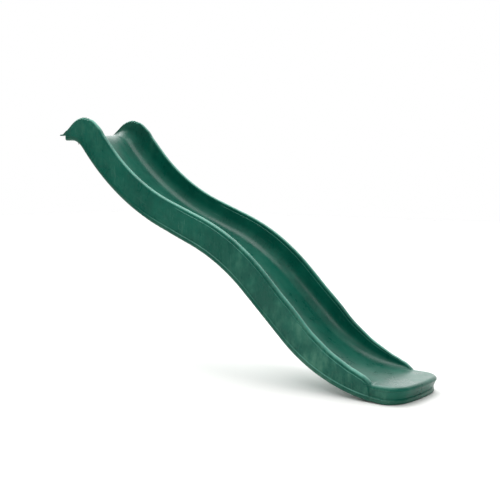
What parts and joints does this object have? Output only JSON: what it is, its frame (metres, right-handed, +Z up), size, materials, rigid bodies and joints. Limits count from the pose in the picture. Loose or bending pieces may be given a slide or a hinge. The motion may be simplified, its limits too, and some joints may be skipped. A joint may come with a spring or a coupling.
{
  "type": "wave slide",
  "caption": "Open-topped children's wave slide for a low platform: a hollow moulded plastic chute with two humps, rounded side walls, a screw-on lip and a flat run-out.",
  "frame": {"origin": "the underside of the lip, at the platform's edge and in the middle of the slide's width", "axes": "+X downhill, away from the platform; +Y across; +Z up. The ground is 1.2 m below the origin."},
  "size_m": [2.2099, 0.422, 1.2974],
  "materials": {
    "chute_plastic": "satin dark green polyethylene, blow-moulded, with faint cloudy mottling and fine scuffs",
    "cap_plastic": "injection-moulded dark green, fine satin",
    "fitting_plastic": "black glass-filled nylon, satin",
    "connector_plastic": "dark grey moulded plastic, satin",
    "zinc_steel": "zinc-plated steel",
    "seal_rubber": "black EPDM rubber"
  },
  "bodies": {
    "root": {"slide_body": "chute_plastic", "platform_screws": "zinc_steel", "screw_washers": "zinc_steel", "cap_seats": "cap_plastic", "cap_lids": "cap_plastic", "spray_nozzle": "fitting_plastic", "nozzle_seal": "seal_rubber", "backing_washer": "zinc_steel", "nozzle_nut": "fitting_plastic", "hose_connector": "connector_plastic", "connector_seal": "seal_rubber", "spigot_ring": "seal_rubber", "vent_plug": "cap_plastic", "drain_plug": "cap_plastic"}
  },
  "joints": []
}
